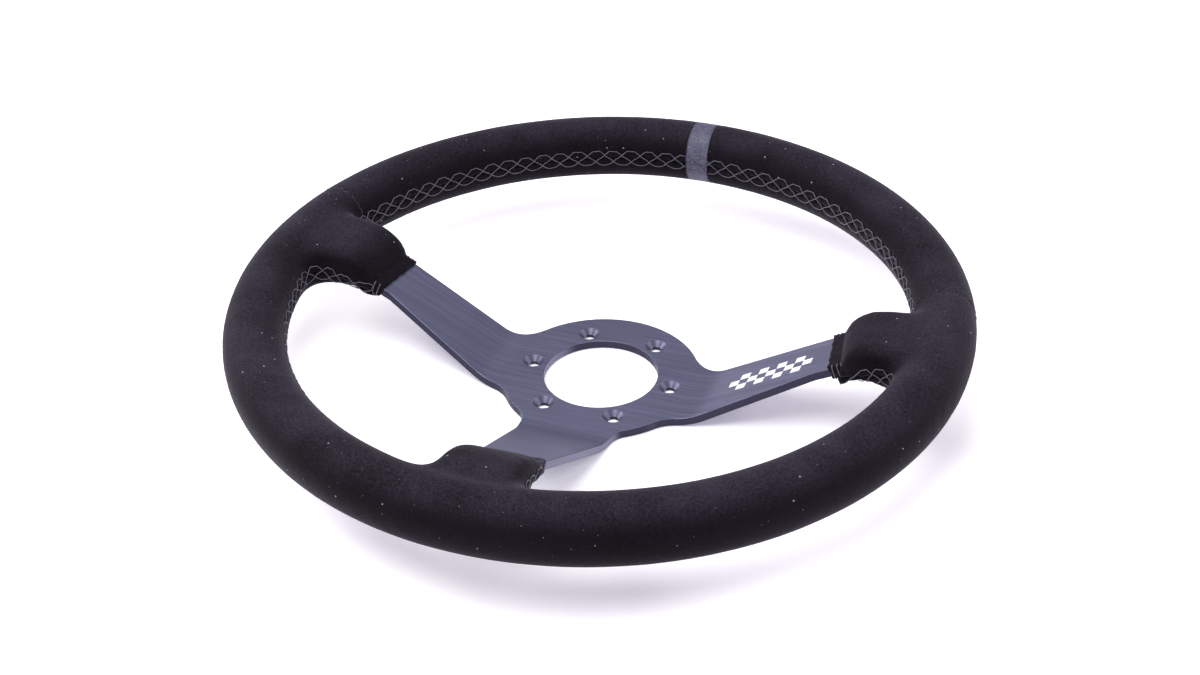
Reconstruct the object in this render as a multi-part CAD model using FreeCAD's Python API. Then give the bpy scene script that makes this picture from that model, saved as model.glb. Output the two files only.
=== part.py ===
import FreeCAD, Part
import math
import os

# Three-spoke dished racing wheel, bare of hub, horn button and screws.
# Millimetres. Origin at the centre of the hub's back face, +Z towards the driver,
# +Y towards the 12 o'clock marker, +X to the driver's right.

# rim
rim_diameter = 350.0
tube_width = 28.6            # radial size of the wrapped rim section
tube_height = 31.0           # axial size of the wrapped rim section
dish = 41.0                  # rim centre plane above the hub's back face

# spoke plate
plate_thickness = 4.0
bolt_circle = 70.0
bolt_count = 6
bolt_hole = 5.3
countersink_diameter = 10.2
hub_margin = 12.5            # metal outside the bolt circle
bore_margin = 7.5            # metal inside the bolt circle
edge_break = 0.4
bend_radius = 30.0           # to the middle of the plate
bend_gap = 4.5               # from the hub's edge to where each spoke starts to rise
spoke_flat = 31.0            # level run of each spoke before it meets the hoop

# side spokes, given on the right-hand side
side_top_inner = 18.3        # upper edge above the axis, near the hub
side_top_outer = 22.5        # upper edge above the axis, at the pad
side_low_inner = 19.3        # lower edge below the axis, near the hub
side_low_outer = 6.6         # lower edge below the axis, at the pad
side_top_fillet = 20.0
side_low_fillet = 17.0

# bottom spoke
bottom_inner_half = 20.4
bottom_outer_half = 14.8
bottom_fillet = 11.0
inner_gap = 13.5             # from the hub's edge to where the inner widths are taken

# wrapping
cover_thickness = 1.2
thread_thickness = 0.7
lacing_width = 9.0
marker_width = 11.6
cross_seam_angle = 15.0      # degrees above the side spokes' axis
pad_length = 53.7            # from the collar's edge to the middle of the rim section
collar_length = 7.0
pad_swell = 3.4              # how far each pad stands out past its spoke's edges
seam_inset = 2.0             # how far the pads' side seams wrap onto the pads' ends

# core inside the rim
hoop_width = 17.0
hoop_thickness = 4.0
rivet_shank = 5.0
rivet_head = 9.0
rivet_head_height = 2.0
rivet_spacing = 14.0

# worked out from the sizes above
half_width = tube_width / 2
half_height = tube_height / 2
tube_radius = rim_diameter / 2 - half_width
hub_radius = bolt_circle / 2 + hub_margin
bore_radius = bolt_circle / 2 - bore_margin
plate_half = plate_thickness / 2
hoop_bottom = dish - hoop_thickness / 2 + 0.6
tip_height = hoop_bottom - plate_half            # middle of the flat spoke end
tip_radius = tube_radius + hoop_width / 2 - 1.5
pad_reach = tube_radius - pad_length             # from the axis to each collar's edge
first_bend = hub_radius + bend_gap
second_bend = tube_radius - hoop_width / 2 - spoke_flat
spoke_slope = (tip_height - plate_half) / (second_bend - first_bend)
inner_reach = hub_radius + inner_gap
side_middle = (side_top_outer - side_low_outer) / 2
far = rim_diameter
up = FreeCAD.Vector(0, 0, 1)


def vec(x, y, z=0.0):
    return FreeCAD.Vector(x, y, z)


def rise(reach):
    # height of the plate's middle surface at a distance from the axis
    if reach <= first_bend:
        return plate_half
    if reach >= second_bend:
        return tip_height
    return plate_half + (reach - first_bend) * spoke_slope


def box(x_low, x_high, y_low, y_high, z_low, z_high):
    return Part.makeBox(x_high - x_low, y_high - y_low, z_high - z_low, vec(x_low, y_low, z_low))


def mirrored(shape):
    return shape.mirror(vec(0, 0), vec(1, 0))


def turned(shape, degrees):
    copy = shape.copy()
    copy.rotate(vec(0, 0), up, degrees)
    return copy


def bent_side(corners, offset):
    # one face of the bent plate, in the X-Z plane: straight runs joined by arcs
    edges = []
    last = vec(corners[0][0], 0, corners[0][1] + offset)
    for before, corner, after in zip(corners, corners[1:], corners[2:]):
        angle_in = math.atan2(corner[1] - before[1], corner[0] - before[0])
        angle_out = math.atan2(after[1] - corner[1], after[0] - corner[0])
        half_turn = (angle_out - angle_in) / 2
        reach = bend_radius * math.tan(abs(half_turn))
        sag = math.copysign(bend_radius / math.cos(half_turn) - bend_radius, half_turn)
        points = []
        for angle, along, across in ((angle_in, -reach, 0), (angle_in + half_turn, 0, sag),
                                     (angle_out, reach, 0)):
            x = corner[0] + along * math.cos(angle) - (across + offset) * math.sin(angle)
            z = corner[1] + along * math.sin(angle) + (across + offset) * math.cos(angle)
            points.append(vec(x, 0, z))
        edges.append(Part.makeLine(last, points[0]))
        edges.append(Part.Arc(*points).toShape())
        last = points[2]
    edges.append(Part.makeLine(last, vec(corners[-1][0], 0, corners[-1][1] + offset)))
    return edges


def bent_slab(half_thickness):
    # the plate's bent section, endless along Y
    corners = [(-far, tip_height), (-second_bend, tip_height), (-first_bend, plate_half),
               (first_bend, plate_half), (second_bend, tip_height), (far, tip_height)]
    edges = bent_side(corners, half_thickness) + bent_side(corners, -half_thickness)
    for x in (-far, far):
        edges.append(Part.makeLine(vec(x, 0, tip_height - half_thickness),
                                   vec(x, 0, tip_height + half_thickness)))
    face = Part.Face(Part.Wire(Part.__sortEdges__(edges)))
    slab = face.extrude(vec(0, 2 * far, 0))
    slab.translate(vec(0, -far, 0))
    return slab


def neck(inner, outer, radius, outward):
    # arc that leaves the hub's circle and runs into a spoke's straight edge
    along = outer.sub(inner).normalize()
    across = vec(-along.y, along.x).multiply(outward)
    offset = inner.add(across * radius)
    reach = offset.dot(along)
    span = (hub_radius + radius) ** 2 - offset.dot(offset)
    centre = offset.add(along * (math.sqrt(reach ** 2 + span) - reach))
    on_edge = centre.sub(across * radius)
    on_hub = centre * (hub_radius / (hub_radius + radius))
    towards = on_edge.add(on_hub).sub(centre * 2).normalize()
    arc = Part.Arc(on_hub, centre.add(towards * radius), on_edge).toShape()
    return arc, on_hub, on_edge


def plan_outline():
    # outline of the flat blank: right half first, then its mirror image
    top_inner, top_outer = vec(inner_reach, side_top_inner), vec(pad_reach, side_top_outer)
    low_inner, low_outer = vec(inner_reach, -side_low_inner), vec(pad_reach, -side_low_outer)
    down_inner = vec(bottom_inner_half, -inner_reach)
    down_outer = vec(bottom_outer_half, -pad_reach)
    top_arc, top_hub, top_edge = neck(top_inner, top_outer, side_top_fillet, 1)
    low_arc, low_hub, low_edge = neck(low_inner, low_outer, side_low_fillet, -1)
    down_arc, down_hub, down_edge = neck(down_inner, down_outer, bottom_fillet, 1)
    between = low_hub.add(down_hub).normalize() * hub_radius
    half = [top_arc, low_arc, down_arc, Part.Arc(low_hub, between, down_hub).toShape()]
    half.append(Part.makePolygon([top_edge, top_outer, vec(far, side_top_outer),
                                  vec(far, -side_low_outer), low_outer, low_edge]))
    half.append(Part.makePolygon([down_edge, down_outer, vec(bottom_outer_half, -far)]))
    edges = []
    for shape in half:
        edges += shape.Edges + mirrored(shape).Edges
    edges.append(Part.makeLine(vec(bottom_outer_half, -far), vec(-bottom_outer_half, -far)))
    edges.append(Part.Arc(top_hub, vec(0, hub_radius), vec(-top_hub.x, top_hub.y)).toShape())
    return Part.Face(Part.Wire(Part.__sortEdges__(edges)))


def bent_plate(outline, half_thickness, tip):
    # the outline stood up as a prism and cut to the bent section, side spokes and bottom spoke
    blank = outline.extrude(vec(0, 0, far))
    blank.translate(vec(0, 0, -far / 2))
    blank = blank.common(Part.makeCylinder(tip, far, vec(0, 0, -far / 2)))
    slab = bent_slab(half_thickness)
    split = -hub_radius / 1.5
    lower = box(split, -split, -far, split, -far, far)
    bottom = blank.common(lower).common(turned(slab, 90))
    sides = blank.cut(lower).common(slab)
    return sides.fuse(bottom).removeSplitter()


def upright(face):
    low_u, high_u, low_v, high_v = face.ParameterRange
    return abs(face.normalAt((low_u + high_u) / 2, (low_v + high_v) / 2).z) < 0.05


def broken_edges(plate):
    # both rims of every cut edge, rounded off
    edges = []
    for edge in plate.Edges:
        faces = plate.ancestorsOfType(edge, Part.Face)
        if len(faces) == 2 and upright(faces[0]) != upright(faces[1]):
            edges.append(edge)
    return plate.makeFillet(edge_break, edges)


def make_spoke_plate():
    plate = bent_plate(plan_outline(), plate_half, tip_radius)
    plate = plate.cut(Part.makeCylinder(bore_radius, 3 * plate_thickness, vec(0, 0, -1)))
    plate = broken_edges(plate)
    sink = (countersink_diameter - bolt_hole) / 2
    for i in range(bolt_count):
        angle = math.radians(90 + 180 / bolt_count + i * 360 / bolt_count)
        centre = vec(bolt_circle / 2 * math.cos(angle), bolt_circle / 2 * math.sin(angle))
        plate = plate.cut(Part.makeCylinder(bolt_hole / 2, 3 * plate_thickness, centre - up))
        cone = Part.makeCone(bolt_hole / 2, countersink_diameter / 2, sink,
                             centre + up * (plate_thickness - sink))
        plate = plate.cut(cone)
    for place in rivet_places("all"):
        plate = plate.cut(Part.makeCylinder(rivet_shank / 2, 2 * far, place - up * far))
    return plate


def rivet_places(which):
    # plan positions of the two rivets through each spoke end
    places = {"right": [], "left": [], "bottom": []}
    for side in (-1, 1):
        y = side_middle + side * rivet_spacing / 2
        x = math.sqrt(tube_radius ** 2 - y ** 2)
        places["right"].append(vec(x, y))
        places["left"].append(vec(-x, y))
        x = side * rivet_spacing / 2
        places["bottom"].append(vec(x, -math.sqrt(tube_radius ** 2 - x ** 2)))
    if which == "all":
        return places["right"] + places["left"] + places["bottom"]
    return places[which]


def make_rim_hoop():
    outer = tube_radius + hoop_width / 2
    hoop = Part.makeCylinder(outer, hoop_thickness, vec(0, 0, hoop_bottom))
    hoop = hoop.cut(Part.makeCylinder(outer - hoop_width, hoop_thickness, vec(0, 0, hoop_bottom)))
    for place in rivet_places("all"):
        hole = Part.makeCylinder(rivet_shank / 2, hoop_thickness, place + up * hoop_bottom)
        hoop = hoop.cut(hole)
    return hoop


def make_rivets(which):
    # pan-headed above the hoop, closed flat under the spoke
    low = hoop_bottom - plate_thickness
    top = hoop_bottom + hoop_thickness
    rivets = []
    for place in rivet_places(which):
        shank = Part.makeCylinder(rivet_shank / 2, top - low, place + up * low)
        head = Part.makeCone(rivet_head / 2, rivet_head / 3, rivet_head_height, place + up * top)
        tail_height = rivet_head_height / 2
        tail = Part.makeCylinder(rivet_head / 2, tail_height, place + up * (low - tail_height))
        rivets.append(shank.fuse([head, tail]).removeSplitter())
    return Part.Compound(rivets)


def rim_tube(grow):
    # the padded rim section turned round the axis; grow is measured from the suede's surface
    major, minor = half_height + grow, half_width + grow
    ellipse = Part.Ellipse(vec(0, 0), major, minor).toShape()
    ellipse.rotate(vec(0, 0), up, 90)
    ellipse.rotate(vec(0, 0), vec(1, 0), 90)
    ellipse.translate(vec(tube_radius, 0, dish))
    return Part.Face(Part.Wire(ellipse)).revolve(vec(0, 0), up, 360)


def pad_section(reach, low_side, high_side, bottom, top, grow):
    # rounded oblong across a pad, at one distance from the axis
    power = 2.8
    steps = 16
    half_wide = (high_side - low_side) / 2 + grow
    half_tall = (top - bottom) / 2 + grow
    points = []
    for i in range(steps):
        angle = 2 * math.pi * i / steps
        c, s = math.cos(angle), math.sin(angle)
        y = (low_side + high_side) / 2 + half_wide * math.copysign(abs(c) ** (2 / power), c)
        z = (bottom + top) / 2 + half_tall * math.copysign(abs(s) ** (2 / power), s)
        points.append(vec(reach, y, z))
    curve = Part.BSplineCurve()
    curve.interpolate(Points=points, PeriodicFlag=True)
    return Part.Wire(curve.toShape())


def pad(low_side, high_side, grow):
    # padding that flows from the rim down to the collar on a spoke, drawn on the +X side
    start = pad_reach + collar_length - 3.0
    inner_edge = tube_radius - half_width
    low, high = low_side - pad_swell, high_side + pad_swell
    crown = dish + half_height
    floor = dish - half_height
    stations = [(start - 1.5 * grow, 0.0, rise(start) - 4.0, rise(start) + 5.0),
                (start + 5, 0.6, rise(start + 5) - 4.4, rise(start + 5) + 9.5),
                (start + 12, 1.0, rise(start + 12) - 4.6, crown - 5.0),
                (start + 21, 1.8, tip_height - 5.4, crown - 2.6),
                (inner_edge - 5, 4.0, tip_height - 7.0, crown - 1.6),
                (inner_edge + 3, 9.0, floor + 2.6, crown - 1.0),
                (tube_radius - 1, 16.0, floor + 1.4, crown - 1.0)]
    wires = []
    for reach, flare, bottom, top in stations:
        wires.append(pad_section(reach, low - flare, high + flare, bottom, top, grow))
    return Part.makeLoft(wires, True, False)


def collar(low_side, high_side, grow):
    # the cover's folded end, hugging the plate where it leaves the pad
    half = plate_half + cover_thickness + grow
    side = cover_thickness + grow
    start = pad_reach - (grow if grow > 0 else 0)
    slab = bent_slab(half)
    return slab.common(box(start, pad_reach + collar_length, low_side - side, high_side + side,
                           0, dish + half_height))


def grip_body(grow):
    # rim and three pads as one solid
    side_pad = pad(-side_low_outer, side_top_outer, grow)
    bottom_pad = turned(pad(-bottom_outer_half, bottom_outer_half, grow), -90)
    return rim_tube(grow).fuse([side_pad, mirrored(side_pad), bottom_pad])


def collars(grow):
    side = collar(-side_low_outer, side_top_outer, grow)
    bottom = turned(collar(-bottom_outer_half, bottom_outer_half, grow), -90)
    return [side, mirrored(side), bottom]


def cross_slab(angle, thickness):
    # thin upright slab through the rim at an angle above the +X axis
    slab = box(tube_radius - far / 8, tube_radius + far / 8, -thickness / 2, thickness / 2, 0, far)
    return turned(slab, angle)


def above_cross_seam(x_low):
    # everything above the right-hand cross seam and to the right of x_low
    angle = math.radians(cross_seam_angle)
    corners = [vec(x_low, x_low * math.tan(angle)), vec(far, far * math.tan(angle)),
               vec(far, far), vec(x_low, far)]
    face = Part.Face(Part.makePolygon(corners + corners[:1]))
    return face.extrude(vec(0, 0, far))


def seam_region():
    # where the two edges of the cover meet: round the inside of the rim, then down each pad's sides
    half = lacing_width / 2
    inside = tube_radius - half_width
    ring = Part.makeCylinder(inside + half, lacing_width, vec(0, 0, dish - half))
    ring = ring.cut(Part.makeCylinder(inside - half, lacing_width, vec(0, 0, dish - half)))
    strips = []
    near, bend = pad_reach + 3.0, pad_reach + 30.0
    end = tube_radius
    profile = [(near, rise(near) - plate_half - 1), (bend, dish - half), (end, dish - half),
               (end, dish + half), (bend, dish + half), (near, rise(near) + plate_half + 1)]
    points = [vec(x, 0, z) for x, z in profile]
    face = Part.Face(Part.makePolygon(points + points[:1]))
    for low, high in ((-side_low_outer, side_top_outer), (-bottom_outer_half, bottom_outer_half)):
        pair = []
        for edge, direction in ((high - seam_inset, 1), (low + seam_inset, -1)):
            strip = face.extrude(vec(0, direction * far / 8, 0))
            strip.translate(vec(0, edge, 0))
            pair.append(strip)
        if high == side_top_outer:
            strips += pair + [mirrored(strip) for strip in pair]
        else:
            strips += [turned(strip, -90) for strip in pair]
    return ring.fuse(strips)


def hem_sides(low_side, high_side):
    # where a collar's two side edges are sewn shut past the plate's edges
    start, end = pad_reach + 0.8, pad_reach + collar_length
    low = box(start, end, low_side - far / 8, low_side, 0, far)
    high = box(start, end, high_side, high_side + far / 8, 0, far)
    return low.fuse(high)


def save(name, shape):
    solids = [solid for solid in shape.Solids if solid.Volume > 0.5]
    result = solids[0] if len(solids) == 1 else Part.Compound(solids)
    result.exportStep("parts/" + name + ".step")
    print(name, len(solids), "solids", round(sum(s.Volume for s in solids)), "mm3")


def main():
    os.makedirs("parts", exist_ok=True)
    plate = make_spoke_plate()
    hoop = make_rim_hoop()
    save("spoke_plate", plate)
    save("rim_hoop", hoop)
    solid_core = [bent_plate(plan_outline(), plate_half, tip_radius), hoop]
    for which in ("left", "right", "bottom"):
        rivets = make_rivets(which)
        save(which + "_spoke_rivets", rivets)
        solid_core.append(rivets)

    inner = grip_body(-cover_thickness)
    save("foam_grip", inner.cut(solid_core))

    outer = grip_body(0).fuse(collars(0))
    cover = outer.cut(inner).cut(solid_core)
    half_marker = marker_width / 2
    marker_zone = box(-half_marker, half_marker, 0, far, 0, far)
    right_zone = above_cross_seam(half_marker)
    left_zone = mirrored(right_zone)
    save("centre_marker", cover.common(marker_zone))
    save("cover_upper_right", cover.common(right_zone))
    save("cover_upper_left", cover.common(left_zone))
    save("cover_lower", cover.cut([marker_zone, right_zone, left_zone]))

    wrapped = grip_body(thread_thickness)
    skin = wrapped.cut(outer)
    lacing = skin.common(seam_region())
    seam_cut = cross_slab(cross_seam_angle, thread_thickness)
    upper_right = lacing.common(box(half_marker, far, side_middle, far, 0, far))
    lower_right = lacing.common(box(0, far, -far, side_middle, 0, far))
    save("lacing_upper_right", upper_right)
    save("lacing_upper_left", mirrored(upper_right))
    save("lacing_lower_right", lower_right)
    save("lacing_lower_left", mirrored(lower_right))
    save("lacing_marker", lacing.common(marker_zone))
    cross = skin.common(seam_cut).cut(seam_region())
    save("cross_seam_thread_right", cross)
    save("cross_seam_thread_left", mirrored(cross))
    edge_right = box(half_marker - thread_thickness, half_marker, 0, far, 0, far)
    marker_thread = skin.common(edge_right).cut(seam_region())
    save("marker_thread_right", marker_thread)
    save("marker_thread_left", mirrored(marker_thread))

    hem = collars(thread_thickness)
    base = collars(0)
    side_zone = hem_sides(-side_low_outer, side_top_outer)
    bottom_zone = turned(hem_sides(-bottom_outer_half, bottom_outer_half), -90)
    hem_thread = hem[0].cut(base[0]).common(side_zone).cut(wrapped)
    save("hem_thread_right", hem_thread)
    save("hem_thread_left", mirrored(hem_thread))
    save("hem_thread_bottom", hem[2].cut(base[2]).common(bottom_zone).cut(wrapped))


main()
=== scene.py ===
import math
import random
import bpy
import numpy as np
from mathutils import Matrix, Vector
from mathutils.bvhtree import BVHTree
from mathutils.kdtree import KDTree


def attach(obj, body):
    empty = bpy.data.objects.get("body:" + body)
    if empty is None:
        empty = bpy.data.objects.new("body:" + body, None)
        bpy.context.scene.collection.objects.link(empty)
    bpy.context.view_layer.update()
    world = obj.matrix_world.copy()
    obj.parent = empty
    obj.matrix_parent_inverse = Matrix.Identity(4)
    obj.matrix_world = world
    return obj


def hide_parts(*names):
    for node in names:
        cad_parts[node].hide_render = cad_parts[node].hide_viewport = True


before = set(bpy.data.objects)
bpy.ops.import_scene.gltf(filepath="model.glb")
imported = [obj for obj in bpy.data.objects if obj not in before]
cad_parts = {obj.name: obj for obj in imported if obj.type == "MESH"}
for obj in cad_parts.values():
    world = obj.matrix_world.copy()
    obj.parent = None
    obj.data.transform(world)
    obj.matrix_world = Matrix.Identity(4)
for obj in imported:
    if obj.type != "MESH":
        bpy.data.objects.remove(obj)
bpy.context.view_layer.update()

mm = 0.001

# sizes shared by every piece, in metres, in the wheel's own frame
wheel = {
    "tubeRadius": 160.7 * mm,      # axis to the middle of the rim section
    "tubeHalfWidth": 14.3 * mm,
    "tubeHalfHeight": 15.5 * mm,
    "tubeHeight": 41.0 * mm,       # rim centre above the hub's back face
    "plateHalf": 2.0 * mm,
    "firstBend": 52.0 * mm,
    "spokeSlope": 0.515,
    "sideTop": 22.5 * mm,          # side spoke's edges at the pad
    "sideLow": -6.6 * mm,
    "bottomHalf": 14.8 * mm,
    "markerHalf": 5.8 * mm,
    "padSwell": 3.4 * mm,          # how far each pad stands out past its spoke's edges
    "padsFrom": 90.0 * mm,         # further out than this there are only pads and rim
    "crossAngle": math.radians(15),
}


def clearSelection():
    if bpy.context.object and bpy.context.object.mode != "OBJECT":
        bpy.ops.object.mode_set(mode="OBJECT")
    bpy.ops.object.select_all(action="DESELECT")


def pick(*pieces):
    clearSelection()
    for piece in pieces:
        piece.select_set(True)
    bpy.context.view_layer.objects.active = pieces[0]


def editAll(piece):
    pick(piece)
    bpy.ops.object.mode_set(mode="EDIT")
    bpy.ops.mesh.select_all(action="SELECT")


def editPart(piece, kind, test):
    # edit mode with only the vertices, edges or faces that pass the test selected
    editAll(piece)
    bpy.ops.mesh.select_mode(type=kind)
    bpy.ops.mesh.select_all(action="DESELECT")
    bpy.ops.object.mode_set(mode="OBJECT")
    mesh = piece.data
    group = {"VERT": mesh.vertices, "EDGE": mesh.edges, "FACE": mesh.polygons}[kind]
    for item in group:
        item.select = bool(test(item))
    bpy.ops.object.mode_set(mode="EDIT")


def leaveEdit():
    bpy.ops.object.mode_set(mode="OBJECT")


def applyModifier(piece, kind, **settings):
    pick(piece)
    modifier = piece.modifiers.new(kind.lower(), kind)
    for key, value in settings.items():
        setattr(modifier, key, value)
    bpy.ops.object.modifier_apply(modifier=modifier.name)


def settle(piece):
    # place, turn and size all go into the mesh
    pick(piece)
    bpy.ops.object.transform_apply(location=True, rotation=True, scale=True)


def meshPoints(piece):
    points = np.empty(len(piece.data.vertices) * 3)
    piece.data.vertices.foreach_get("co", points)
    return points.reshape(-1, 3)


def setPoints(piece, points):
    piece.data.vertices.foreach_set("co", points.astype(np.float32).ravel())
    piece.data.update()


def meshNormals(piece):
    normals = np.empty(len(piece.data.vertices) * 3)
    piece.data.vertices.foreach_get("normal", normals)
    return normals.reshape(-1, 3)


def copyPiece(piece, name):
    twin = piece.copy()
    twin.data = piece.data.copy()
    twin.name = name
    bpy.context.collection.objects.link(twin)
    return twin


def rise(reach):
    # height of the plate's middle at a distance from the axis
    return wheel["plateHalf"] + max(0.0, reach - wheel["firstBend"]) * wheel["spokeSlope"]


# ---- camera and light

view = {
    "place": (0.28008, -0.70274, 0.53811),
    "target": (0.00894, -0.02190, 0.04090),
    "roll": math.radians(-1.92),
    "lens": 57.69,
}


def addCamera():
    place, target = Vector(view["place"]), Vector(view["target"])
    ahead = (target - place).normalized()
    right = ahead.cross(Vector((0, 0, 1))).normalized()
    above = right.cross(ahead)
    c, s = math.cos(view["roll"]), math.sin(view["roll"])
    right, above = right * c + above * s, above * c - right * s
    turn = Matrix((right, above, -ahead)).transposed().to_4x4()
    data = bpy.data.cameras.new("camera")
    data.lens = view["lens"]
    data.sensor_width = 36
    data.clip_end = 20
    camera = bpy.data.objects.new("camera", data)
    bpy.context.collection.objects.link(camera)
    camera.matrix_world = Matrix.Translation(place) @ turn
    bpy.context.scene.camera = camera


studio = {
    "world": 0.60,
    "worldTint": (0.92, 0.88, 1.0),
    "floor": (0.93, 0.925, 0.945),
    "floorGlow": 0.29,        # lit from beneath, so shadows stay pale
    "lights": [
        # name, place, size, power
        ("overheadLight", (-0.20, -0.55, 1.50), 1.1, 20),
        ("leftLight", (-1.30, 0.05, 0.70), 0.8, 14),
        ("rightLight", (1.25, 0.45, 0.80), 0.9, 8),
    ],
}


def addStudio():
    world = bpy.data.worlds.new("studio")
    bpy.context.scene.world = world
    world.use_nodes = True
    world.node_tree.nodes["Background"].inputs["Color"].default_value = (*studio["worldTint"], 1)
    world.node_tree.nodes["Background"].inputs["Strength"].default_value = studio["world"]
    for name, place, size, power in studio["lights"]:
        data = bpy.data.lights.new(name, "AREA")
        data.shape = "DISK"
        data.size = size
        data.energy = power
        data.color = (1.0, 0.99, 0.95)
        light = bpy.data.objects.new(name, data)
        bpy.context.collection.objects.link(light)
        light.location = place
        light.rotation_euler = (Vector((0, 0, 0)) - Vector(place)).to_track_quat("-Z", "Y").to_euler()
    clearSelection()
    bpy.ops.mesh.primitive_plane_add(size=12, location=(0, 0, -0.0004))
    floor = bpy.context.object
    floor.name = "floor"
    settle(floor)
    material = bpy.data.materials.new("paperFloor")
    material.use_nodes = True
    shader = material.node_tree.nodes["Principled BSDF"]
    shader.inputs["Base Color"].default_value = (*studio["floor"], 1)
    shader.inputs["Roughness"].default_value = 0.9
    shader.inputs["Emission Color"].default_value = (0.93, 0.88, 1.0, 1)
    shader.inputs["Emission Strength"].default_value = studio["floorGlow"]
    floor.data.materials.append(material)
    bpy.context.scene.view_settings.view_transform = "Standard"


addCamera()
addStudio()
print("camera and studio ready")


# ---- material helpers

def newMaterial(name):
    material = bpy.data.materials.new(name)
    material.use_nodes = True
    tree = material.node_tree
    return material, tree, tree.nodes["Principled BSDF"]


def addNode(tree, kind, inputs=(), **settings):
    node = tree.nodes.new(kind)
    for key, value in settings.items():
        setattr(node, key, value)
    for key, value in dict(inputs).items():
        if hasattr(value, "is_output"):
            tree.links.new(value, node.inputs[key])
        else:
            node.inputs[key].default_value = value
    return node


def mathNode(tree, operation, a, b=None, c=None):
    values = {0: a}
    if b is not None:
        values[1] = b
    if c is not None:
        values[2] = c
    return addNode(tree, "ShaderNodeMath", values, operation=operation).outputs[0]


def ramp(tree, value, low, high, fromLow=0.0, fromHigh=1.0, smooth=True):
    node = addNode(tree, "ShaderNodeMapRange", {"Value": value, "From Min": low, "From Max": high,
                                                "To Min": fromLow, "To Max": fromHigh})
    node.interpolation_type = "SMOOTHSTEP" if smooth else "LINEAR"
    return node.outputs[0]


def objectCoords(tree, scale=(1, 1, 1)):
    coords = tree.nodes.new("ShaderNodeTexCoord")
    mapping = addNode(tree, "ShaderNodeMapping", {"Vector": coords.outputs["Object"]})
    mapping.inputs["Scale"].default_value = scale
    return mapping.outputs[0]


def noise(tree, coords, scale, detail=2.0, roughness=0.5):
    return addNode(tree, "ShaderNodeTexNoise", {"Vector": coords, "Scale": scale, "Detail": detail,
                                                "Roughness": roughness}).outputs["Fac"]


def mixColors(tree, factor, a, b):
    node = addNode(tree, "ShaderNodeMix", data_type="RGBA")
    for index, value in ((0, factor), (6, a), (7, b)):
        if hasattr(value, "is_output"):
            tree.links.new(value, node.inputs[index])
        elif index:
            node.inputs[index].default_value = (*value, 1)
        else:
            node.inputs[index].default_value = value
    return node.outputs[2]


def bump(tree, shader, height, strength, distance):
    node = addNode(tree, "ShaderNodeBump", {"Height": height, "Strength": strength,
                                            "Distance": distance})
    tree.links.new(node.outputs[0], shader.inputs["Normal"])
    return node


# ---- suede: short black nap, a seam line down the middle of its seamSide attribute

suede = {
    "deep": (0.0016, 0.0010, 0.0022),
    "pale": (0.0066, 0.0044, 0.0084),
    "paintedToplight": (0.0275, 0.0240, 0.0375),     # painted top light: upward-facing leather high on the rim is made paler, as if lit from above
    "lint": (0.30, 0.29, 0.34),
    "seamDark": (0.0012, 0.001, 0.0016),
}


def makeSuede():
    material, tree, shader = newMaterial("blackSuede")
    coords = objectCoords(tree)
    fibre = noise(tree, coords, 2300, 3, 0.75)
    nap = noise(tree, coords, 950, 4, 0.7)
    brushed = noise(tree, coords, 42, 4, 0.6)
    patches = noise(tree, coords, 11, 3, 0.55)
    mixed = mathNode(tree, "MULTIPLY_ADD", nap, 0.46, mathNode(tree, "MULTIPLY", fibre, 0.46))
    mixed = mathNode(tree, "MULTIPLY_ADD", brushed, 0.24, mixed)
    mixed = mathNode(tree, "MULTIPLY_ADD", patches, 0.20, mixed)
    tone = ramp(tree, mixed, 0.52, 0.84)
    facing = addNode(tree, "ShaderNodeNewGeometry").outputs["Normal"]
    facing = addNode(tree, "ShaderNodeSeparateXYZ", {"Vector": facing}).outputs[2]
    height = addNode(tree, "ShaderNodeSeparateXYZ", {"Vector": coords}).outputs[2]
    # painted light and shade: leather facing up near the rim's top is made paler, the rest stays dark
    onTop = mathNode(tree, "MULTIPLY", ramp(tree, facing, 0.30, 1.0),
                     ramp(tree, height, 40 * mm, 56 * mm, 0.15, 1.0))
    paintedToplight = mixColors(tree, onTop, suede["pale"], suede["paintedToplight"])
    color = mixColors(tree, tone, suede["deep"], paintedToplight)
    # the leather is darker and flatter where it is pulled into the seam
    side = addNode(tree, "ShaderNodeAttribute", attribute_name="seamSide").outputs["Fac"]
    away = mathNode(tree, "ABSOLUTE", side)
    inSeam = ramp(tree, away, 0.0002, 0.0009, 1, 0)
    color = mixColors(tree, inSeam, color, suede["seamDark"])
    # white lint, a few specks in each handful of leather
    dust = addNode(tree, "ShaderNodeTexVoronoi", {"Vector": coords, "Scale": 210.0,
                                                  "Randomness": 1.0})
    speck = ramp(tree, dust.outputs["Distance"], 0.05, 0.10, 1, 0)
    rare = addNode(tree, "ShaderNodeSeparateColor", {"Color": dust.outputs["Color"]}).outputs[0]
    speck = mathNode(tree, "MULTIPLY", speck, ramp(tree, rare, 0.66, 0.80))
    fluff = addNode(tree, "ShaderNodeTexVoronoi", {"Vector": coords, "Scale": 520.0})
    bit = ramp(tree, fluff.outputs["Distance"], 0.08, 0.16, 1, 0)
    rare = addNode(tree, "ShaderNodeSeparateColor", {"Color": fluff.outputs["Color"]}).outputs[1]
    bit = mathNode(tree, "MULTIPLY", bit, ramp(tree, rare, 0.90, 0.99, 0, 0.45))
    speck = mathNode(tree, "MAXIMUM", speck, bit)
    color = mixColors(tree, speck, color, suede["lint"])
    tree.links.new(color, shader.inputs["Base Color"])
    shader.inputs["Roughness"].default_value = 0.93
    shader.inputs["Specular IOR Level"].default_value = 0.10
    shader.inputs["Sheen Weight"].default_value = 0.13
    shader.inputs["Sheen Roughness"].default_value = 0.36
    shader.inputs["Sheen Tint"].default_value = (0.84, 0.78, 1.0, 1)
    height = mathNode(tree, "MULTIPLY_ADD", fibre, 0.5, nap)
    height = mathNode(tree, "MULTIPLY_ADD", inSeam, -3.0, height)
    bump(tree, shader, height, 0.55, 0.00028)
    return material


# ---- marker band: fine-grained slate leather

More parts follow.
